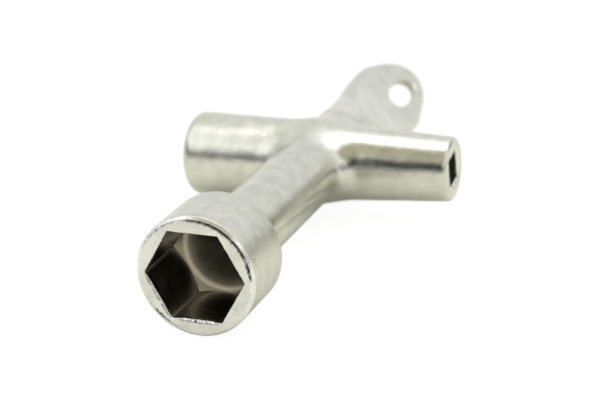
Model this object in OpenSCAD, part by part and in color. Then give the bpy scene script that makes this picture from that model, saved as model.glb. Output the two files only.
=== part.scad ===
// Four-way radiator bleed key: a hex socket head on a round stem, a cross arm
// with a square socket in each end, and a flattened tab with an eye.
// The stem runs along Y and the arms along X. The origin is where they cross.

/* [Hex socket head] */
// Outside diameter of the head
head_d = 17.9; // [16.5:0.1:20]
// Length of the head along the stem
head_len = 11.6; // [11.4:0.1:14]
// Distance from the arm axis to the front face of the head
head_reach = 51.7; // [45:0.1:60]
// Hex socket, across its flats
hex_af = 13.0; // [11:0.1:13.2]
// Depth of the hex socket at its corners
hex_depth = 9.9; // [6:0.1:10]
// Angle the hex is turned from level
hex_turn = 1.5; // [0:0.5:30]
// Diameter of the throat where the hex runs out into a steeper round cone
throat_d = 12.6; // [12:0.1:12.8]
// Depth of the cone's tip
socket_bottom = 16.4; // [15.5:0.1:17]

/* [Stem] */
// Diameter of the stem
stem_d = 11.1; // [11:0.1:12]

/* [Hub] */
// Half the length of the hub along the arms and along the stem
hub_half = 10.0; // [9.5:0.1:11]
// Radius of the boss that fills the corners between the stem and the arms
boss_r = 10.4; // [9:0.1:11]

/* [Arms] */
// Reach of the left arm from the stem axis
left_reach = 22.1; // [21.5:0.1:27]
// Diameter of the left arm at its end
left_end_d = 14.0; // [13:0.1:15]
// Across flats of the square socket in the left arm
left_square = 7.0; // [6:0.1:8]
// Reach of the right arm from the stem axis
right_reach = 23.0; // [21.5:0.1:27]
// Diameter of the right arm at its end
right_end_d = 10.4; // [10:0.1:12]
// Across flats of the square socket in the right arm
right_square = 5.1; // [4.5:0.1:5.5]
// Angle the right arm's square is turned from level
right_square_turn = 9; // [0:1:45]
// Diameter both arms share at the stem axis
arm_root_d = 13.0; // [12.6:0.1:14]
// Depth of the square sockets
square_depth = 10.0; // [8:0.1:12]
// Radius rounded onto the edge of the left arm's end
left_edge_r = 1.9; // [0.5:0.1:2]
// Radius rounded onto the edge of the right arm's end
right_edge_r = 0.7; // [0.4:0.1:1.4]

/* [Ring tab] */
// Distance from the arm axis to the tip of the tab
tab_reach = 52.7; // [50:0.1:56]
// Widest width of the tab
tab_w = 14.2; // [12:0.1:15]
// Length of the tab's elliptical end
tab_oval_len = 32.4; // [30:0.1:36]
// Angle the flat of the tab is rolled about the stem axis
tab_roll = 46; // [0:1:90]
// Thickness of the tab at its tip
tab_tip_t = 1.8; // [1.5:0.1:3]
// Diameter of the round neck behind the hub
neck_d = 11.2; // [10.4:0.1:11.5]
// Length of the eye along the tab
eye_len = 12.4; // [8:0.1:13]
// Width of the eye
eye_w = 4.4; // [4:0.1:6]
// Distance from the tip of the tab to the middle of the eye
eye_back = 11.0; // [8:0.1:13]
// Distance the eye sits to one side of the stem axis
eye_side = 1.5; // [0:0.1:2]
// Distance the tab's oval end sits to the same side
tab_side = 0.4; // [0:0.1:1]

/* [Hidden] */
$fn = 96;
nickel = [0.80, 0.79, 0.75];
front_y = -head_reach;
head_back_y = front_y + head_len;
hex_r = hex_af / sqrt(3);
// The hex runs out on a 45 degree cone down to the throat
throat_depth = hex_depth + hex_r - throat_d / 2;
rim_bevel = 0.5;
// Half the height of the boss in the corners of the cross
boss_h = 5.0;
back_round = 1.1;
// Radius of the fillet between the stem and the back of the head
neck_fillet = 1.0;
// Depth of the lead-in cone at each square socket
lead_in = 0.4;
tab_mid_y = tab_reach - tab_oval_len / 2;
eye_y = tab_reach - eye_back;
// Where the tab reaches its full thinness
thin_from_y = tab_mid_y + 4;
// Where the neck's straight sides run into the oval
oval_from_y = tab_mid_y - 12;
// Where the rounding off to the neck starts, and where it has let go of the tab
round_from_y = hub_half + 4;
round_to_y = tab_mid_y - 6;

// A solid turned about the Y axis from [radius, y] points
module turned_y(points) {
    rotate([-90, 0, 0]) rotate_extrude() polygon(points);
}

// A solid turned about the X axis from [radius, x] points
module turned_x(points) {
    rotate([0, 90, 0]) rotate_extrude() polygon(points);
}

// Quarter-circle points for a rounded edge, centred on [r, along]
function arc(r, along, radius, from, to) =
    [for (i = [0:6]) let (a = from + (to - from) * i / 6) [r + radius * cos(a), along + radius * sin(a)]];

// The hex pocket with its coned bottom, opening at the front face
module hex_pocket() {
    intersection() {
        translate([0, front_y - 1, 0]) rotate([-90, 0, 0]) rotate([0, 0, hex_turn])
            linear_extrude(socket_bottom + 2) circle(r = hex_r, $fn = 6);
        turned_y([[0, front_y - 1], [hex_r + 1, front_y - 1], [hex_r + 1, front_y + hex_depth - 1],
            [throat_d / 2, front_y + throat_depth], [0, front_y + socket_bottom]]);
    }
}

// Round head with a bevelled front rim and a rounded back edge
module hex_socket_head() {
    r = head_d / 2;
    color(nickel) difference() {
        turned_y(concat([[0, front_y], [r - rim_bevel, front_y], [r, front_y + rim_bevel]],
            arc(r - back_round, head_back_y - back_round, back_round, 0, 90), [[0, head_back_y]]));
        hex_pocket();
    }
}

// Round bar from the head to the hub, filleted at the head; the pocket's cone runs into it
module stem() {
    r = stem_d / 2;
    color(nickel) difference() {
        turned_y(concat([[0, head_back_y]],
            arc(r + neck_fillet, head_back_y + neck_fillet, neck_fillet, 270, 180),
            [[r, -hub_half], [0, -hub_half]]));
        hex_pocket();
    }
}

// Radius of the arms where they leave the hub
function arm_r(end_d, reach) = arm_root_d / 2 + (end_d - arm_root_d) / 2 * hub_half / reach;

// A low round boss that fills the four inside corners of the cross
module corner_boss() {
    steps = 16;
    intersection() {
        rotate_extrude() polygon([for (i = [0:steps]) let (a = -90 + 180 * i / steps)
            [boss_r * cos(a), boss_h * sin(a)]]);
        cube([2 * hub_half, 2 * hub_half, 2 * boss_h + 1], center = true);
    }
}

// The crossing of the stem, the neck and the two arms
module hub() {
    color(nickel) union() {
        turned_y([[0, -hub_half], [stem_d / 2, -hub_half], [neck_d / 2, hub_half], [0, hub_half]]);
        turned_x([[0, -hub_half], [arm_r(left_end_d, left_reach), -hub_half], [arm_root_d / 2, 0],
            [arm_r(right_end_d, right_reach), hub_half], [0, hub_half]]);
        corner_boss();
    }
}

// A tapered arm pointing along +X with a rounded end edge and a blind square socket
module arm(end_d, reach, edge_r, square_af, square_turn) {
    r = end_d / 2;
    color(nickel) difference() {
        turned_x(concat([[0, hub_half], [arm_r(end_d, reach), hub_half]],
            arc(r - edge_r, reach - edge_r, edge_r, 0, 90), [[0, reach]]));
        rotate([square_turn, 0, 0]) translate([reach - square_depth, -square_af / 2, -square_af / 2])
            cube([square_depth + 1, square_af, square_af]);
        turned_x([[0, reach - lead_in], [square_af / 2, reach - lead_in],
            [square_af / 2 + 2 * lead_in, reach + lead_in], [0, reach + lead_in]]);
    }
}

module left_arm() {
    mirror([1, 0, 0]) arm(left_end_d, left_reach, left_edge_r, left_square, 0);
}

module right_arm() {
    arm(right_end_d, right_reach, right_edge_r, right_square, right_square_turn);
}

// Outline of the tab seen square on: a neck running into an elliptical end
module tab_outline() {
    steps = 60;
    polygon(concat([[-neck_d / 2, hub_half], [neck_d / 2, hub_half], [neck_d / 2, oval_from_y]],
        [for (i = [0:steps]) let (a = -35 + 250 * i / steps)
            [tab_side + tab_w / 2 * cos(a), tab_mid_y + tab_oval_len / 2 * sin(a)]],
        [[-neck_d / 2, oval_from_y]]));
}

// Side view of the tab: the neck's depth falling along a curve to the thin tip
module tab_profile() {
    steps = 10;
    h = neck_d / 2;
    t = tab_tip_t / 2;
    upper = [for (i = [0:steps]) let (u = i / steps)
        [t + (h - t) * (1 - u) * (1 - u), hub_half + (thin_from_y - hub_half) * u]];
    lower = [for (i = [0:steps]) [-upper[steps - i][0], upper[steps - i][1]]];
    polygon(concat(upper, [[t, tab_reach + 1], [-t, tab_reach + 1]], lower));
}

// Rounds the tab off to the round neck at the hub and lets it widen towards the eye
module tab_round() {
    turned_y([[0, hub_half], [neck_d / 2, hub_half], [neck_d / 2, round_from_y],
        [tab_w / 2 + 1, round_to_y], [tab_w / 2 + 1, tab_reach + 1], [0, tab_reach + 1]]);
}

// The flattened tab with its long eye, rolled about the stem axis
module ring_tab() {
    color(nickel) rotate([0, tab_roll, 0]) difference() {
        intersection() {
            translate([0, 0, -tab_w]) linear_extrude(2 * tab_w) tab_outline();
            rotate([0, -90, 0]) translate([0, 0, -tab_w]) linear_extrude(2 * tab_w) tab_profile();
            tab_round();
        }
        translate([0, 0, -tab_w]) linear_extrude(2 * tab_w)
            polygon([for (i = [0:47]) let (a = 360 * i / 48)
                [eye_side + eye_w / 2 * cos(a), eye_y + eye_len / 2 * sin(a)]]);
    }
}

hex_socket_head();
stem();
hub();
left_arm();
right_arm();
ring_tab();
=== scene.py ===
"""Looks for a four-way radiator bleed key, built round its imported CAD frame.

The key is one nickel-plated zinc casting. Each CAD zone gets its own finished
mesh: rings joined into a skin where the form is turned or has a socket, and a
blended implicit surface where the bars run into each other. Lengths in the
script are millimetres, scaled to metres as each mesh is made.
"""
import math

import bmesh
import bpy
import numpy as np
from mathutils import Matrix, Vector, noise


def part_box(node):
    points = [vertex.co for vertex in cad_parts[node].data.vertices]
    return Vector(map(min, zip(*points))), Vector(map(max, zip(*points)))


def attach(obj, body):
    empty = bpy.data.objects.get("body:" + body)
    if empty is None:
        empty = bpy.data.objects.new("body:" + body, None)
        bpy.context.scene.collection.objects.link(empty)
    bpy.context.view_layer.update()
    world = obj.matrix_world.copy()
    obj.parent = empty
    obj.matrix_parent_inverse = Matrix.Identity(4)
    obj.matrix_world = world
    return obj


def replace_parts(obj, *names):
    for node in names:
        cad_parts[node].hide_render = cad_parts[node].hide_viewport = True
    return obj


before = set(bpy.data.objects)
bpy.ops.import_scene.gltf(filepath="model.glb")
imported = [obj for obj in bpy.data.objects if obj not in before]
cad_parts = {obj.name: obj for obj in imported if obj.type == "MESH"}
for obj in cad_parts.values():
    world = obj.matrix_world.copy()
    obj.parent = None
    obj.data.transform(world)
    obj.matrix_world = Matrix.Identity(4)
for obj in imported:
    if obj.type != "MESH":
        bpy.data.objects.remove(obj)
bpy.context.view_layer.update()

MM = 0.001
TAU = 2 * math.pi
SEGMENTS = 240


def zone(name):
    """Lowest and highest corner of a CAD node, in millimetres."""
    low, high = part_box(name)
    return np.array(low) / MM, np.array(high) / MM


# Driving dimensions, from the frame
head_low, head_high = zone("hex_socket_head")
HEAD_R = head_high[0]
FRONT_Y = head_low[1]
HEAD_BACK_Y = head_high[1]
HEAD_LENGTH = HEAD_BACK_Y - FRONT_Y
HUB_HALF = zone("hub")[1][0]
LEFT_REACH = -zone("left_arm")[0][0]
RIGHT_REACH = zone("right_arm")[1][0]
TAB_TIP = zone("ring_tab")[1][1]

# Bars: the stem, the neck of the tab and the arms
STEM_R = 5.55
NECK_R = 5.6
ARM_ROOT_R = 6.5
LEFT_END_R = 7.0
RIGHT_END_R = 5.2
LEFT_EDGE_R = 1.9
RIGHT_EDGE_R = 0.7
FILLET_BLEND = 3.3

# Head and its hex socket: the hexagon, a 45 degree run-out, a round throat, a cone
BACK_ROUND = 1.1
NECK_FILLET = 1.0
HEX_AF = 13.0
HEX_R = HEX_AF / math.sqrt(3)
HEX_TURN = math.radians(1.5)
HEX_DEPTH = 9.9
THROAT_R = 6.3
THROAT_DEPTH = HEX_DEPTH + HEX_R - THROAT_R
SOCKET_BOTTOM = 16.4

# Square sockets in the arms
RIGHT_SQUARE = 5.1
RIGHT_SQUARE_TURN = math.radians(9)
LEFT_SQUARE = 7.0
SQUARE_DEPTH = 10.0

# Tab: a round neck running into a thin oval, with a long eye, rolled about the stem
TAB_ROLL = math.radians(46)
TAB_HALF_W = 6.65
TAB_HALF_L = 16.2
TAB_TIP_HALF_T = 0.9
TAB_THINNING = 4.0
TAB_SIDE = 0.5
TAB_BLEND = 4.4
EYE_BACK = 11.0
EYE_HALF_L = 6.2
EYE_HALF_W = 2.2
EYE_SIDE = 1.5
EYE_EDGE = 0.6

# Unevenness of the cast skin: its depth, and how many waves there are to a millimetre
CAST_WAVE = 0.03
CAST_WAVE_PITCH = 0.22


# ---------------------------------------------------------------- mesh helpers

def cast_wave(points):
    """Slow unevenness of a cast skin, as a distance along the normal."""
    return np.array([CAST_WAVE * noise.noise(Vector(p) * CAST_WAVE_PITCH) for p in points])


def finish_mesh(name, mesh, slots, sharp_angle=32):
    """Shades a mesh, makes its object and puts it on the key's one body."""
    bm = bmesh.new()
    bm.from_mesh(mesh)
    bmesh.ops.recalc_face_normals(bm, faces=bm.faces)
    for face in bm.faces:
        face.smooth = True
    for edge in bm.edges:
        edge.smooth = edge.calc_face_angle(0) < math.radians(sharp_angle)
    bm.to_mesh(mesh)
    bm.free()
    mesh.transform(Matrix.Scale(MM, 4))
    for slot in slots:
        mesh.materials.append(slot)
    obj = bpy.data.objects.new(name, mesh)
    bpy.context.scene.collection.objects.link(obj)
    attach(obj, "root")
    return obj


class Skin:
    """A closed skin built ring by ring, each ring joined to the one before."""

    def __init__(self):
        self.rings, self.looks, self.worn, self.wave = [], [], [], []

    def add(self, ring, look, worn=0.0, wave=0.0):
        """look is the material of the band after the ring, worn its value or values
        for the wear attribute, which marks stains and rubbed metal and also paints shade and
        highlight, and wave how much of the cast unevenness it takes."""
        self.rings.append(ring)
        self.looks.append(look)
        self.worn.append(np.broadcast_to(worn, (len(ring),)))
        self.wave.append(wave)

    def make(self, name, slots, tube=False):
        """A tube's last ring joins its first; any other skin closes on its end centres."""
        count, total = len(self.rings[0]), len(self.rings)
        moved = []
        for ring, wave in zip(self.rings, self.wave):
            if wave:
                outward = ring - ring.mean(axis=0)
                outward /= np.linalg.norm(outward, axis=1)[:, None]
                ring = ring + outward * (wave * cast_wave(ring))[:, None]
            moved.append(ring)
        verts = np.vstack(moved)
        faces, looks = [], []
        for i in range(total if tube else total - 1):
            below, above = i * count, (i + 1) % total * count
            for j in range(count):
                k = (j + 1) % count
                faces.append((below + j, below + k, above + k, above + j))
                looks.append(self.looks[i])
        worn = np.concatenate(self.worn)
        if not tube:
            verts = np.vstack([verts, self.rings[0].mean(axis=0), self.rings[-1].mean(axis=0)])
            worn = np.concatenate([worn, [self.worn[0][0], self.worn[-1][0]]])
            for j in range(count):
                k = (j + 1) % count
                faces.append((total * count, k, j))
                faces.append((total * count + 1, (total - 1) * count + j, (total - 1) * count + k))
                looks += [self.looks[0], self.looks[-1]]
        mesh = bpy.data.meshes.new(name)
        mesh.from_pydata(verts.tolist(), [], faces)
        mesh.polygons.foreach_set("material_index", looks)
        # The attribute marks stains and rubbed metal, and also carries painted shade and painted highlight
        attribute = mesh.attributes.new("marks_and_painted_light", "FLOAT", "POINT")
        attribute.data.foreach_set("value", worn.astype(np.float32))
        return finish_mesh(name, mesh, slots)


def angles():
    return np.arange(SEGMENTS) * TAU / SEGMENTS


def about_y(radius, y):
    """Ring round the Y axis; radius and y may vary round it."""
    turn = angles()
    radius = np.broadcast_to(radius, turn.shape)
    y = np.broadcast_to(y, turn.shape)
    return np.stack([radius * np.cos(turn), y, radius * np.sin(turn)], axis=1)


def about_x(radius, x):
    """Ring round the X axis; radius and x may vary round it."""
    turn = angles()
    radius = np.broadcast_to(radius, turn.shape)
    x = np.broadcast_to(x, turn.shape)
    return np.stack([x, radius * np.cos(turn), radius * np.sin(turn)], axis=1)


def hexagon(apothem):
    """Radius of a hexagon round the turn, with corners HEX_TURN off the X axis."""
    return apothem / np.cos((angles() + HEX_TURN) % (TAU / 6) - TAU / 12)


def square(half):
    """Radius of a square round the turn, with level flats."""
    return half / np.maximum(np.abs(np.cos(angles())), np.abs(np.sin(angles())))


def turned_about_x(ring, turn):
    return ring @ np.array(Matrix.Rotation(turn, 3, "X")).T


def ring_noise(scale, seed):
    """Closed noise round a ring, about -1 to 1."""
    return np.array([
        noise.fractal(Vector((math.cos(a) * scale, math.sin(a) * scale, seed)), 1.0, 2.0, 3)
        for a in angles()])


def ramp(value, low, high):
    """A smooth step from 0 at low to 1 at high."""
    t = np.clip((value - low) / (high - low), 0, 1)
    return t * t * (3 - 2 * t)


def stretch(rise, full, ease, end):
    """1 over a stretch of a ring, easing in from rise to full and out from ease to end."""
    return ramp(angles(), rise, full) * (1 - ramp(angles(), ease, end))


def bell(distance, width):
    """1 at no distance, falling off smoothly over the width."""
    return np.exp(-(distance / width) ** 2)


# ------------------------------------------------------------------- materials

MOTTLE_SCALE = 420.0
CLOUD_SCALE = 150.0
GRAIN_SCALE = 3000.0
DENT_SCALE = 600.0
# Marked places are dull. The pale lines in the sockets are rubbed metal and also painted highlight, matt
# so that they scatter light from the mouth
WEAR_AND_PAINTED_LIGHT_METALLIC = 0.15
PALE_WEAR_AND_HIGHLIGHT = (0.95, 0.86, 0.68)


def node(tree, kind, **inputs):
    """Adds a shader node and sets its inputs by name."""
    made = tree.nodes.new(kind)
    for name, value in inputs.items():
        made.inputs[name.replace("_", " ")].default_value = value
    return made


def colour_ramp(tree, source, stops):
    """Colours a value by its place among the stops."""
    ramp_node = tree.nodes.new("ShaderNodeValToRGB")
    elements = ramp_node.color_ramp.elements
    while len(elements) < len(stops):
        elements.new(0.5)
    for element, (place, colour) in zip(elements, stops):
        element.position = place
        element.color = (*colour, 1)
    tree.links.new(source, ramp_node.inputs["Fac"])
    return ramp_node.outputs["Color"]


def grey(value):
    return (value, value, value)


def metal(name, dark, light, rough, grain, dents, marks_and_painted_light=None, metallic=1.0):
    """Cast metal: mottled colour, varying roughness, a fine grain and soft dents.

    rough is the lowest and highest roughness, grain and dents are bump heights in
    millimetres, and wear is a colour shown where the wear attribute is high: stains and
    rubbed metal, and also painted shade in creases and painted highlight in the sockets.
    """
    made = bpy.data.materials.new(name)
    made.use_nodes = True
    tree = made.node_tree
    link = tree.links.new
    shader = tree.nodes["Principled BSDF"]
    shader.inputs["Metallic"].default_value = metallic
    place = tree.nodes.new("ShaderNodeTexCoord").outputs["Object"]
    mottle = node(tree, "ShaderNodeTexNoise", Scale=MOTTLE_SCALE, Detail=5.0, Roughness=0.6)
    link(place, mottle.inputs["Vector"])
    colour = colour_ramp(tree, mottle.outputs["Fac"], [(0.32, dark), (0.62, light)])
    cloud = node(tree, "ShaderNodeTexNoise", Scale=CLOUD_SCALE, Detail=3.0)
    link(place, cloud.inputs["Vector"])
    spread = node(tree, "ShaderNodeMapRange", To_Min=rough[0], To_Max=rough[1])
    spread.inputs["From Min"].default_value = 0.35
    spread.inputs["From Max"].default_value = 0.65
    link(cloud.outputs["Fac"], spread.inputs["Value"])
    link(spread.outputs["Result"], shader.inputs["Roughness"])
    if marks_and_painted_light is not None:
        worn = tree.nodes.new("ShaderNodeAttribute")
        worn.attribute_name = "marks_and_painted_light"
        mix = tree.nodes.new("ShaderNodeMix")
        mix.data_type = "RGBA"
        link(worn.outputs["Fac"], mix.inputs["Factor"])
        link(colour, mix.inputs["A"])
        mix.inputs["B"].default_value = (*marks_and_painted_light, 1)
        colour = mix.outputs["Result"]
        duller = node(tree, "ShaderNodeMapRange", To_Min=metallic, To_Max=WEAR_AND_PAINTED_LIGHT_METALLIC)
        link(worn.outputs["Fac"], duller.inputs["Value"])
        link(duller.outputs["Result"], shader.inputs["Metallic"])
    link(colour, shader.inputs["Base Color"])
    fine = node(tree, "ShaderNodeTexNoise", Scale=GRAIN_SCALE, Detail=3.0, Roughness=0.6)
    link(place, fine.inputs["Vector"])
    fine_bump = node(tree, "ShaderNodeBump", Strength=1.0, Distance=grain * MM)
    link(fine.outputs["Fac"], fine_bump.inputs["Height"])
    soft = node(tree, "ShaderNodeTexNoise", Scale=DENT_SCALE, Detail=2.0)
    link(place, soft.inputs["Vector"])
    soft_bump = node(tree, "ShaderNodeBump", Strength=1.0, Distance=dents * MM)
    link(soft.outputs["Fac"], soft_bump.inputs["Height"])
    link(fine_bump.outputs["Normal"], soft_bump.inputs["Normal"])
    link(soft_bump.outputs["Normal"], shader.inputs["Normal"])
    return made


def plated(name, grain):
    """The nickel plating over the casting."""
    return metal(name, dark=(0.64, 0.65, 0.575), light=(0.75, 0.755, 0.68), rough=(0.13, 0.21),
                 grain=grain, dents=0.045)


def cut_face():
    """The trimmed front ring: paler and duller than the plated skin, stained in places, with painted shade
    along the rim's crease and the lower left fold.
    """
    return metal("trimmed_nickel", dark=(0.69, 0.685, 0.62), light=(0.82, 0.815, 0.76), rough=(0.4, 0.55),
                 grain=0.02, dents=0.02, marks_and_painted_light=(0.06, 0.045, 0.03), metallic=0.6)


def bright_edge():
    """Edges burnished by use; where marked, a near-black colour paints shade in the rim's crease, along
    the fold and in dark specks at the chips.
    """
    return metal("burnished_edge", dark=(0.78, 0.78, 0.74), light=(0.93, 0.93, 0.90), rough=(0.12, 0.25),
                 grain=0.05, dents=0.03, marks_and_painted_light=(0.02, 0.014, 0.01))


def socket_bore():
    """Metal inside the sockets, painted darker than the plating as shade, with paler lines that are partly
    rubbed metal and partly painted highlight.
    """
    return metal("socket_shadow", dark=(0.30, 0.30, 0.245), light=(0.42, 0.41, 0.34), rough=(0.14, 0.24),
                 grain=0.02, dents=0.02, marks_and_painted_light=PALE_WEAR_AND_HIGHLIGHT)


def socket_cone():
    """The dull, dark cone at the bottom of the hex socket; its near-black colour is painted shade of the
    deep hole.
    """
    return metal("socket_depth_shade", dark=(0.06, 0.06, 0.048), light=(0.11, 0.105, 0.085), rough=(0.3, 0.45),
                 grain=0.02, dents=0.02, marks_and_painted_light=PALE_WEAR_AND_HIGHLIGHT)


SLOTS = [plated("satin_nickel", 0.038), cut_face(), bright_edge(), socket_bore(), socket_cone()]
# The head's plating is grainier than the rest
HEAD_SLOTS = [plated("grainy_nickel", 0.085), *SLOTS[1:]]
PLATE, CUT, BRIGHT, BORE, DEEP = range(5)


# ----------------------------------------------------------- head and the stem

# Unevenness round the head's rim and the mouth of its socket, from slow to fine
ROUGH = ring_noise(5.0, 3.0)
CHIPS = ring_noise(16.0, 9.0)
FINE_CHIPS = ring_noise(34.0, 6.0)
RAGGED = 0.09 * CHIPS + 0.05 * ROUGH + 0.16 * FINE_CHIPS

# Where marks lie round the head, in radians from +X towards +Z. A stretch has the angles
# where it starts, is full, starts to end and has ended.
UPPER_CREASE = (0.0, 0.12, 2.3, 2.85)
LOWER_CREASE = (3.65, 3.8, 4.3, 4.4)
LOWER_LEFT_FOLD = (3.1, 3.2, 4.05, 4.2)
BURR_MIDDLE = 1.5 * math.pi
RIGHT_STAIN = 5.9
LEFT_STAIN = 2.6

# Depth of the bevelled rim, width of the rim and its crease, and how uneven the cut face is
RIM_DEPTH = 0.55
RIM_WIDTH = 1.35
FACE_WAVE = 0.004

# The socket's walls have even rings from this far behind the face to this far off the run-out
WALL_START = 0.42
WALL_END = 0.7


def corner_wear_and_highlight():
    """1 at a hexagon's corners, falling off along its flats: pale lines of rubbed metal that also serve as
    painted highlight.
    """
    away = np.abs((angles() + HEX_TURN + TAU / 12) % (TAU / 6) - TAU / 12) * HEX_R
    return bell(away, 0.22)


def cone_radius(depth):
    """Radius of the cone that closes the socket, at a depth from the front face."""
    return THROAT_R * (SOCKET_BOTTOM - depth) / (SOCKET_BOTTOM - THROAT_DEPTH)


def cone_wear_and_highlight(depth):
    """Pale marks down the closing cone, from the bright throat to the dark tip: rubbed metal, and painted
    highlight at the throat.
    """
    past = depth - THROAT_DEPTH
    return 0.7 * bell(past, 0.3) + 0.3 * bell(past, 1.0)


def add_side(part):
    """The head's back face, rounded back edge and plain round side."""
    part.add(about_y(cone_radius(HEAD_LENGTH), HEAD_BACK_Y), PLATE)
    part.add(about_y(STEM_R + NECK_FILLET, HEAD_BACK_Y), PLATE)
    round_y = HEAD_BACK_Y - BACK_ROUND
    for a in np.linspace(math.pi / 2, 0, 9):
        radius = HEAD_R - BACK_ROUND + BACK_ROUND * math.cos(a)
        part.add(about_y(radius, round_y + BACK_ROUND * math.sin(a)), PLATE, 0, 0.6)
    rim_y = FRONT_Y + RIM_DEPTH + 0.05 * ROUGH
    for t in np.linspace(0, 1, 26)[1:-1]:
        part.add(about_y(HEAD_R, round_y + (rim_y - round_y) * t), PLATE, 0, 0.9)
    part.add(about_y(HEAD_R, rim_y), BRIGHT)
    part.add(about_y(HEAD_R - 0.12, rim_y - 0.2), BRIGHT)


def add_rim(part):
    """Bevelled rim with a ragged crease inside it, deepest at the upper right, darkened with painted
    shade.
    """
    wide = stretch(*UPPER_CREASE) * (1 - 0.62 * ramp(angles(), 1.35, 1.9))
    wide += 0.5 * stretch(*LOWER_CREASE)
    inward = 0.35 * ramp(angles(), 3.5, 3.8)
    crease = np.clip(wide * (1.0 + 0.5 * ROUGH + 0.7 * CHIPS), 0, 1)
    # Painted shade along the crease, with dark spots where the chips and roughness noise rise
    dark = np.clip(crease + 0.3 * np.clip(CHIPS + ROUGH, 0, 1), 0, 1)
    outer = HEAD_R - 0.42 - (inward - 0.3 * RAGGED) * crease
    middle = HEAD_R - 0.52 - (0.14 + inward - RAGGED) * crease
    inner = HEAD_R - 0.58 - (0.24 + inward - RAGGED) * crease
    part.add(about_y(HEAD_R - 0.36 + 0.3 * RAGGED, FRONT_Y + 0.12), BRIGHT)
    part.add(about_y(outer, FRONT_Y + 0.08 + 0.14 * crease), BRIGHT, dark)
    part.add(about_y(middle, FRONT_Y + 0.05 + 0.24 * crease), BRIGHT, dark)
    part.add(about_y(inner, FRONT_Y + 0.02), CUT, 0.5 * dark)
    part.add(about_y(inner - 0.06, FRONT_Y + FACE_WAVE), CUT)


def add_face(part):
    """Cut front face, with stains, a painted shade line for a fold at the lower left and a chipped burr
    below.
    """
    flat = hexagon(HEX_AF / 2)
    burr = np.clip(bell(angles() - BURR_MIDDLE, 0.55) ** 2 * (0.9 + 0.8 * CHIPS), 0, 1.2)
    fold = stretch(*LOWER_LEFT_FOLD) * np.clip(0.75 + 1.3 * CHIPS, 0, 1)
    stain = 0.22 * bell(angles() - RIGHT_STAIN, 0.5) * np.clip(0.5 + 1.5 * ROUGH, 0, 1)
    stain += 0.5 * bell(angles() - LEFT_STAIN, 0.4) * np.clip(2.5 * CHIPS - 0.5, 0, 1)
    mouth = flat + 0.08 + 0.05 * np.clip(CHIPS, -0.6, 1.0) + 0.06 * FINE_CHIPS + 0.55 * burr
    lip = HEAD_R - RIM_WIDTH
    for t in np.linspace(0, 1, 9)[:-1]:
        level = FRONT_Y + FACE_WAVE * ROUGH * (1 - t)
        part.add(about_y(lip + (mouth + 0.3 - lip) * t, level), CUT, stain * (1 - abs(2 * t - 1)))
    # Painted shade of the fold, on flat rings just outside the mouth
    for out, dark in ((0.22, 1.0), (0.14, 0.9), (0.07, 0.0)):
        part.add(about_y(mouth + out + 0.05 * RAGGED, FRONT_Y), CUT, dark * fold)
    # The mouth's edge takes painted shade from the fold, with dark specks where the chips noise rises
    part.add(about_y(mouth, FRONT_Y), BRIGHT, 0.5 * fold + 0.25 * np.clip(CHIPS, 0, 1))
    part.add(about_y(flat + 0.05 + 0.20 * burr, FRONT_Y + 0.06 + 0.03 * burr), BRIGHT)
    part.add(about_y(flat - 0.01 + 0.03 * burr, FRONT_Y + 0.14 + 0.16 * burr), BRIGHT)
    part.add(about_y(flat - 0.02 - 0.08 * burr, FRONT_Y + 0.30), BORE)


def add_hex_socket(part):
    """Hexagonal walls that end in arches on the run-out, then the throat and the cone."""
    flat = hexagon(HEX_AF / 2)
    # Pale lines at the corners, the arches and the throat: rubbed metal, and painted highlight of the
    # bright bands
    corner = corner_wear_and_highlight()
    wall_depth = HEX_DEPTH + HEX_R - flat
    for t in np.linspace(0, 1, 12):
        depth = WALL_START + (wall_depth - WALL_END - WALL_START) * t
        part.add(about_y(flat, FRONT_Y + depth), BORE, 0.30 * corner * (1 - 0.2 * t))
    for past in (-0.5, -0.3, -0.15, 0.0):
        part.add(about_y(flat, FRONT_Y + wall_depth + past), BORE, 0.7 * bell(past, 0.25))
    for t in (0.12, 0.3, 0.55, 0.8, 0.93, 1.0):
        radius = flat + (THROAT_R - flat) * t
        depth = HEX_DEPTH + HEX_R - radius
        gap = (radius - THROAT_R) * math.sqrt(2)
        part.add(about_y(radius, FRONT_Y + depth), DEEP if t == 1 else BORE, 0.25 + 0.75 * bell(gap, 0.35))
    for t in (0.2, 0.45, 0.7, 0.97):
        depth = THROAT_DEPTH + (HEAD_LENGTH - THROAT_DEPTH) * t
        part.add(about_y(cone_radius(depth), FRONT_Y + depth), DEEP, cone_wear_and_highlight(depth))


def make_head():
    """Round head with its hex socket, as one closed tube that turns in on itself."""
    part = Skin()
    add_side(part)
    add_rim(part)
    add_face(part)
    add_hex_socket(part)
    return part.make("head_casting", HEAD_SLOTS, tube=True)


def make_stem():
    """Round bar filleted at the head, with the end of the socket's cone inside it."""
    part = Skin()
    for depth in np.linspace(SOCKET_BOTTOM - 0.1, HEAD_LENGTH, 12)[:-1]:
        part.add(about_y(cone_radius(depth), FRONT_Y + depth), DEEP, cone_wear_and_highlight(depth))
    part.add(about_y(cone_radius(HEAD_LENGTH), HEAD_BACK_Y), PLATE, cone_wear_and_highlight(HEAD_LENGTH))
    for t in np.linspace(0, 1, 9):
        a = math.pi / 2 * t
        part.add(about_y(STEM_R + NECK_FILLET * (1 - math.sin(a)),
                         HEAD_BACK_Y + NECK_FILLET * (1 - math.cos(a))), PLATE, 0, t)
    for y in np.linspace(HEAD_BACK_Y + NECK_FILLET, -HUB_HALF, 60)[1:]:
        part.add(about_y(STEM_R, y), PLATE, 0, 1)
    return part.make("stem_casting", SLOTS)


# --------------------------------------------------------------------- the arms

def arm_radius(x):
    """Radius of the arms along X: the left one widens a little, the right one narrows."""
    left = ARM_ROOT_R - (LEFT_END_R - ARM_ROOT_R) * x / LEFT_REACH
    right = ARM_ROOT_R + (RIGHT_END_R - ARM_ROOT_R) * x / RIGHT_REACH
    return np.where(x < 0, left, right)


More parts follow.
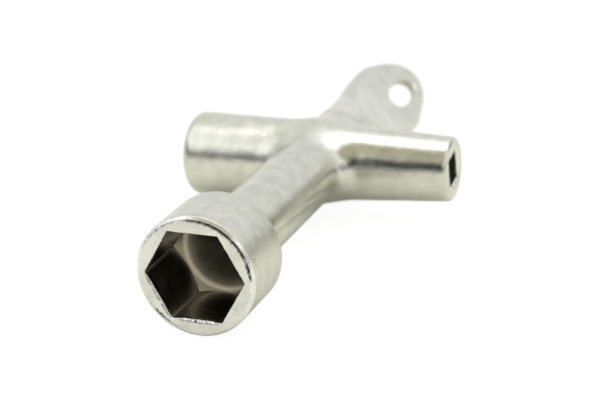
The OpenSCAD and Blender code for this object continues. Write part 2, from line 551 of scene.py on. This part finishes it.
def make_arm(name, side, reach, edge_r, square_af, square_turn=0.0):
    """One arm from the hub to its rounded end, with a square socket in the end.

    side is -1 for the left arm and 1 for the right one.
    """
    part = Skin()
    end_r = float(arm_radius(np.array(side * reach)))
    for x in np.linspace(HUB_HALF, reach - edge_r, 40):
        part.add(about_x(arm_radius(np.array(side * x)), side * x), PLATE, 0, 1)
    for t in np.linspace(0, 1, 11)[1:]:
        a = math.pi / 2 * t
        part.add(about_x(end_r - edge_r * (1 - math.cos(a)),
                         side * (reach - edge_r * (1 - math.sin(a)))), PLATE, 0, 1 - t)
    # A flat rim, a chipped bright edge, then straight walls and a bottom that narrows
    chips = ring_noise(9.0, 4.0)
    mouth = square(square_af / 2)
    rim = np.minimum(mouth + 0.5, end_r - edge_r - 0.02)

    def socket(radius, depth, look, worn=0.0):
        ring = about_x(radius, side * (reach - depth))
        part.add(turned_about_x(ring, square_turn), look, worn)

    socket(rim, 0, PLATE)
    socket(np.minimum(mouth + 0.25 + 0.08 * chips, rim + 0.02), 0.08, BRIGHT)
    # The square socket's walls take the socket material, painted darker as shade
    socket(mouth, 0.4, BORE)
    for depth in np.linspace(0.8, SQUARE_DEPTH, 10):
        socket(mouth, depth, BORE, 0.04)
    socket(square_af * 0.3, SQUARE_DEPTH + 0.6, BORE)
    return part.make(name, SLOTS)


# ------------------------------------------------- hub and tab, blended surfaces

def soft_min(a, b, blend):
    """The smaller of two distances, with the corner between them filled."""
    near = np.clip(1 - np.abs(a - b) / blend, 0, 1)
    return np.minimum(a, b) - blend * 0.25 * near ** 2


def hub_field(p):
    """Distance to the crossed bars, filleted where they meet."""
    x, y, z = p.T
    bar_r = STEM_R + (NECK_R - STEM_R) * (y + HUB_HALF) / (2 * HUB_HALF)
    bar = np.hypot(x, z) - bar_r
    arm = np.hypot(y, z) - arm_radius(x)
    return soft_min(bar, arm, FILLET_BLEND)


def tab_field(p):
    """Distance to the tab before it is rolled: round neck, thin oval end, long eye."""
    across, y, through = p.T
    middle = TAB_TIP - TAB_HALF_L
    thin_y = middle + TAB_THINNING
    root = np.clip((thin_y - y) / (thin_y - HUB_HALF), 0, 1)
    half_t = TAB_TIP_HALF_T + (NECK_R - TAB_TIP_HALF_T) * root ** 2
    aside = across - TAB_SIDE * ramp(y, HUB_HALF, middle)
    oval = oval_distance(aside, y - middle, TAB_HALF_W, TAB_HALF_L)
    neck = np.hypot(aside, np.maximum(y - middle, 0)) - NECK_R
    outline = soft_min(oval, neck, TAB_BLEND)
    solid = np.hypot(np.maximum(outline + half_t, 0), through) - half_t
    eye = oval_distance(across - EYE_SIDE, y - (TAB_TIP - EYE_BACK), EYE_HALF_W, EYE_HALF_L)
    return -soft_min(-solid, eye, EYE_EDGE)


def oval_distance(across, along, half_w, half_l):
    """Roughly the distance to an ellipse. The middle, where no slope is defined, is avoided."""
    q = np.maximum(np.hypot(across / half_w, along / half_l), 0.05)
    slope = np.hypot(across / half_w ** 2, along / half_l ** 2) / q
    return (q - 1) / np.maximum(slope, 1 / half_l)


def slope_of(field, p):
    """Gradient of a field at points, by central differences."""
    step = 0.02
    parts = []
    for axis in range(3):
        move = np.zeros(3)
        move[axis] = step
        parts.append((field(p + move) - field(p - move)) / (2 * step))
    return np.stack(parts, axis=1)


def surface_net(field, low, high, step):
    """Quads over the zero level of a field inside a box, one point per crossed cell."""
    low = np.array(low, float)
    high = np.array(high, float)
    cells = np.round((high - low) / step).astype(int)
    lines = [np.linspace(low[i], high[i], cells[i] + 1) for i in range(3)]
    grid = np.stack(np.meshgrid(*lines, indexing="ij"), axis=-1)
    value = field(grid.reshape(-1, 3)).reshape(cells + 1)
    inside = value < 0
    total = np.zeros((*cells, 3))
    count = np.zeros(tuple(cells))
    crossings = []
    for axis in range(3):
        near = tuple(slice(0, -1) if i == axis else slice(None) for i in range(3))
        far = tuple(slice(1, None) if i == axis else slice(None) for i in range(3))
        crossed = inside[near] != inside[far]
        t = np.where(crossed, value[near] / np.where(crossed, value[near] - value[far], 1), 0)
        place = grid[near] + t[..., None] * (grid[far] - grid[near])
        crossings.append((crossed, inside[near]))
        others = [i for i in range(3) if i != axis]
        for d1 in (0, 1):
            for d2 in (0, 1):
                cut = [slice(None)] * 3
                cut[others[0]] = slice(d1, d1 + cells[others[0]])
                cut[others[1]] = slice(d2, d2 + cells[others[1]])
                cut = tuple(cut)
                total += np.where(crossed[cut][..., None], place[cut], 0)
                count += crossed[cut]
    used = count > 0
    ids = np.full(tuple(cells), -1)
    ids[used] = np.arange(used.sum())
    points = total[used] / count[used][:, None]
    quads = []
    for axis in range(3):
        crossed, from_inside = crossings[axis]
        u, v = [i for i in range(3) if i != axis]
        for i, j, k in zip(*np.nonzero(crossed)):
            cell = [i, j, k]
            if not (1 <= cell[u] < cells[u] and 1 <= cell[v] < cells[v]):
                continue
            loop = []
            for du, dv in ((1, 1), (0, 1), (0, 0), (1, 0)):
                at = list(cell)
                at[u] -= du
                at[v] -= dv
                loop.append(ids[tuple(at)])
            quads.append(loop if from_inside[i, j, k] != (axis == 1) else loop[::-1])
    edge_planes = [(i, side, np.abs(points[:, i] - side) < step)
                   for i in range(3) for side in (low[i], high[i])]
    return points, np.array(quads), edge_planes


SETTLE_ROUNDS = 6
EVENING = 0.6
LEAST_SLOPE = 0.05


def settle(field, points, quads, edge_planes):
    """Evens the points out along the surface, keeping the open ends on their planes."""
    pairs = np.vstack([quads[:, [0, 1]], quads[:, [1, 2]], quads[:, [2, 3]], quads[:, [3, 0]]])
    neighbours = np.bincount(pairs.ravel(), minlength=len(points))
    for _ in range(SETTLE_ROUNDS):
        mean = np.zeros_like(points)
        np.add.at(mean, pairs[:, 0], points[pairs[:, 1]])
        np.add.at(mean, pairs[:, 1], points[pairs[:, 0]])
        points = (1 - EVENING) * points + EVENING * mean / neighbours[:, None]
        for _ in range(3):
            slope = slope_of(field, points)
            for axis, side, near in edge_planes:
                points[near, axis] = side
                slope[near, axis] = 0
            steepness = np.maximum((slope ** 2).sum(axis=1), LEAST_SLOPE)
            points = points - slope * (field(points) / steepness)[:, None]
    return points


def make_blended(name, field, low, high, step, roll=0.0):
    """A closed piece from an implicit surface; its open ends are capped flat."""
    points, quads, planes = surface_net(field, low, high, step)
    planes = [(axis, side, near) for axis, side, near in planes if near.any()]
    points = settle(field, points, quads, planes)
    slope = slope_of(field, points)
    for axis, _, near in planes:
        slope[near, axis] = 0
    slope /= np.linalg.norm(slope, axis=1)[:, None]
    turn = np.array(Matrix.Rotation(roll, 3, "Y"))
    points, slope = points @ turn.T, slope @ turn.T
    points = points + slope * cast_wave(points)[:, None]
    mesh = bpy.data.meshes.new(name)
    mesh.from_pydata(points.tolist(), [], quads.tolist())
    bm = bmesh.new()
    bm.from_mesh(mesh)
    ends = [edge for edge in bm.edges if edge.is_boundary]
    bmesh.ops.holes_fill(bm, edges=ends, sides=0)
    bm.to_mesh(mesh)
    bm.free()
    return finish_mesh(name, mesh, SLOTS, sharp_angle=50)


# ------------------------------------------------------------- the whole casting

# Cell size of the blended surfaces, and the space round the tab that they need
CELL = 0.3
TAB_ROOM = 2
HUB_HALF_Z = 8.0

hub_corner = np.array((HUB_HALF, HUB_HALF, HUB_HALF_Z))
tab_low = (-TAB_HALF_W - TAB_ROOM, HUB_HALF, -NECK_R - TAB_ROOM)
tab_high = (TAB_HALF_W + TAB_ROOM, TAB_TIP + TAB_ROOM, NECK_R + TAB_ROOM)

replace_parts(make_head(), "hex_socket_head")
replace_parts(make_stem(), "stem")
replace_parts(make_arm("left_arm_casting", -1, LEFT_REACH, LEFT_EDGE_R, LEFT_SQUARE), "left_arm")
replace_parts(make_arm("right_arm_casting", 1, RIGHT_REACH, RIGHT_EDGE_R, RIGHT_SQUARE,
                     RIGHT_SQUARE_TURN), "right_arm")
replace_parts(make_blended("hub_casting", hub_field, -hub_corner, hub_corner, CELL), "hub")
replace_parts(make_blended("tab_casting", tab_field, tab_low, tab_high, CELL, TAB_ROLL), "ring_tab")


# ---------------------------------------------------------- floor, light, camera

FLOOR_SIZE = 3.0
FLOOR_GAP = 0.3


def make_floor():
    """Plain pale floor under the head: near white to the camera, warm grey in the metal."""
    bpy.ops.mesh.primitive_grid_add(x_subdivisions=8, y_subdivisions=8, size=FLOOR_SIZE,
                                    location=(0, 0.3, -(HEAD_R + FLOOR_GAP) * MM))
    floor = bpy.context.object
    floor.name = "floor"
    made = bpy.data.materials.new("pale_floor")
    made.use_nodes = True
    tree = made.node_tree
    shader = tree.nodes["Principled BSDF"]
    shader.inputs["Base Color"].default_value = (0.15, 0.15, 0.15, 1)
    shader.inputs["Roughness"].default_value = 0.9
    shader.inputs["Emission Color"].default_value = (1, 1, 1, 1)
    shader.inputs["Emission Strength"].default_value = 0.9
    seen = node(tree, "ShaderNodeBsdfDiffuse", Color=(0.74, 0.735, 0.66, 1))
    path = tree.nodes.new("ShaderNodeLightPath")
    mix = tree.nodes.new("ShaderNodeMixShader")
    tree.links.new(path.outputs["Is Camera Ray"], mix.inputs[0])
    tree.links.new(seen.outputs[0], mix.inputs[1])
    tree.links.new(shader.outputs[0], mix.inputs[2])
    tree.links.new(mix.outputs[0], tree.nodes["Material Output"].inputs["Surface"])
    floor.data.materials.append(made)


def make_card(name, low, high, tone):
    """A flat, level or upright studio card that only shows in the metal's reflections."""
    corners = (low, (high[0], low[1], low[2]), high, (low[0], high[1], high[2]))
    mesh = bpy.data.meshes.new(name)
    mesh.from_pydata([Vector(corner) * MM for corner in corners], [], [(0, 1, 2, 3)])
    made = bpy.data.materials.new(name)
    made.use_nodes = True
    tree = made.node_tree
    glow = node(tree, "ShaderNodeEmission", Color=(*tone, 1))
    tree.links.new(glow.outputs[0], tree.nodes["Material Output"].inputs["Surface"])
    mesh.materials.append(made)
    card = bpy.data.objects.new(name, mesh)
    bpy.context.scene.collection.objects.link(card)
    card.visible_camera = False
    card.visible_shadow = False
    card.visible_diffuse = False


def make_room():
    """A soft studio: white overhead, darker towards the walls, as the metal sees it."""
    world = bpy.data.worlds.new("studio")
    bpy.context.scene.world = world
    world.use_nodes = True
    tree = world.node_tree
    link = tree.links.new
    background = tree.nodes["Background"]
    place = tree.nodes.new("ShaderNodeTexCoord")
    parts = tree.nodes.new("ShaderNodeSeparateXYZ")
    link(place.outputs["Generated"], parts.inputs["Vector"])
    # Brightness from the horizon, at 0, to straight up, at 1. The front, on the camera's
    # side, has a dark band under the overhead softbox.
    front = colour_ramp(tree, parts.outputs["Z"], [
        (0.0, grey(0.8)), (0.09, grey(0.35)), (0.27, grey(0.22)), (0.42, grey(1.0)),
        (0.55, grey(1.28)), (0.9, grey(1.15))])
    back = colour_ramp(tree, parts.outputs["Z"], [
        (0.0, grey(0.95)), (0.08, grey(1.0)), (0.18, grey(0.86)), (0.36, grey(0.80)),
        (0.5, grey(0.83)), (0.7, grey(0.95)), (0.85, grey(1.15))])
    side = tree.nodes.new("ShaderNodeMapRange")
    side.inputs["From Min"].default_value = -0.25
    side.inputs["From Max"].default_value = 0.25
    link(parts.outputs["Y"], side.inputs["Value"])
    mix = tree.nodes.new("ShaderNodeMix")
    mix.data_type = "RGBA"
    link(side.outputs["Result"], mix.inputs["Factor"])
    link(front, mix.inputs["A"])
    link(back, mix.inputs["B"])
    link(mix.outputs["Result"], background.inputs["Color"])
    background.inputs["Strength"].default_value = 1.0


def make_light():
    """A large soft lamp above the key."""
    lamp = bpy.data.lights.new("overhead_softbox", "AREA")
    lamp.energy = 0.82
    lamp.size = 0.5
    holder = bpy.data.objects.new("overhead_softbox", lamp)
    holder.location = (0.05, 0.05, 0.6)
    bpy.context.scene.collection.objects.link(holder)


def make_pocket_light():
    """A weak lamp beside the camera that only lights matt surfaces, such as the pale lines in the sockets,
    which are partly rubbed metal and partly painted highlight.
    """
    lamp = bpy.data.lights.new("pocket_light", "AREA")
    lamp.energy = 0.3
    lamp.size = 0.12
    holder = bpy.data.objects.new("pocket_light", lamp)
    holder.location = (0.136, -0.402, 0.136)
    to_head = Vector((0, FRONT_Y * MM, 0)) - holder.location
    holder.rotation_euler = to_head.to_track_quat("-Z", "Y").to_euler()
    holder.visible_glossy = False
    bpy.context.scene.collection.objects.link(holder)


def make_camera():
    """Close view from the front right, looking down on the key, with a long lens."""
    azimuth = math.radians(21.24)
    elevation = math.radians(19.81)
    roll = math.radians(3.15)
    distance = 280.2
    aim = Vector((-2.5, -3.3, -6.0))
    forward = Vector((-math.sin(azimuth) * math.cos(elevation),
                      math.cos(azimuth) * math.cos(elevation),
                      -math.sin(elevation)))
    level = forward.cross(Vector((0, 0, 1))).normalized()
    upright = level.cross(forward)
    right = level * math.cos(roll) - upright * math.sin(roll)
    up = upright * math.cos(roll) + level * math.sin(roll)
    focus = bpy.data.objects.new("focus_on_front_face", None)
    focus.location = (0, FRONT_Y * MM, 0)
    bpy.context.scene.collection.objects.link(focus)
    camera = bpy.data.cameras.new("camera")
    camera.lens = 102
    camera.sensor_width = 36
    camera.clip_start = 0.01
    camera.dof.use_dof = True
    camera.dof.focus_object = focus
    camera.dof.aperture_fstop = 36
    holder = bpy.data.objects.new("camera", camera)
    turn = Matrix((right, up, -forward)).transposed()
    holder.matrix_world = Matrix.Translation((aim - forward * distance) * MM) @ turn.to_4x4()
    bpy.context.scene.collection.objects.link(holder)
    bpy.context.scene.camera = holder


make_floor()
make_room()
make_light()
make_pocket_light()
make_card("grey_card", (-36, -160, 100), (110, -12, 100), (0.50, 0.47, 0.36))
make_card("black_card", (-50, -150, 24), (80, -150, 118), (0.015, 0.02, 0.03))
make_card("left_card", (-120, 6, 100), (-37, 100, 100), (0.87, 0.88, 0.82))
make_card("back_card", (77, 100, -7), (140, 100, 46), (0.12, 0.12, 0.10))
make_camera()
bpy.context.scene.view_settings.view_transform = "Standard"
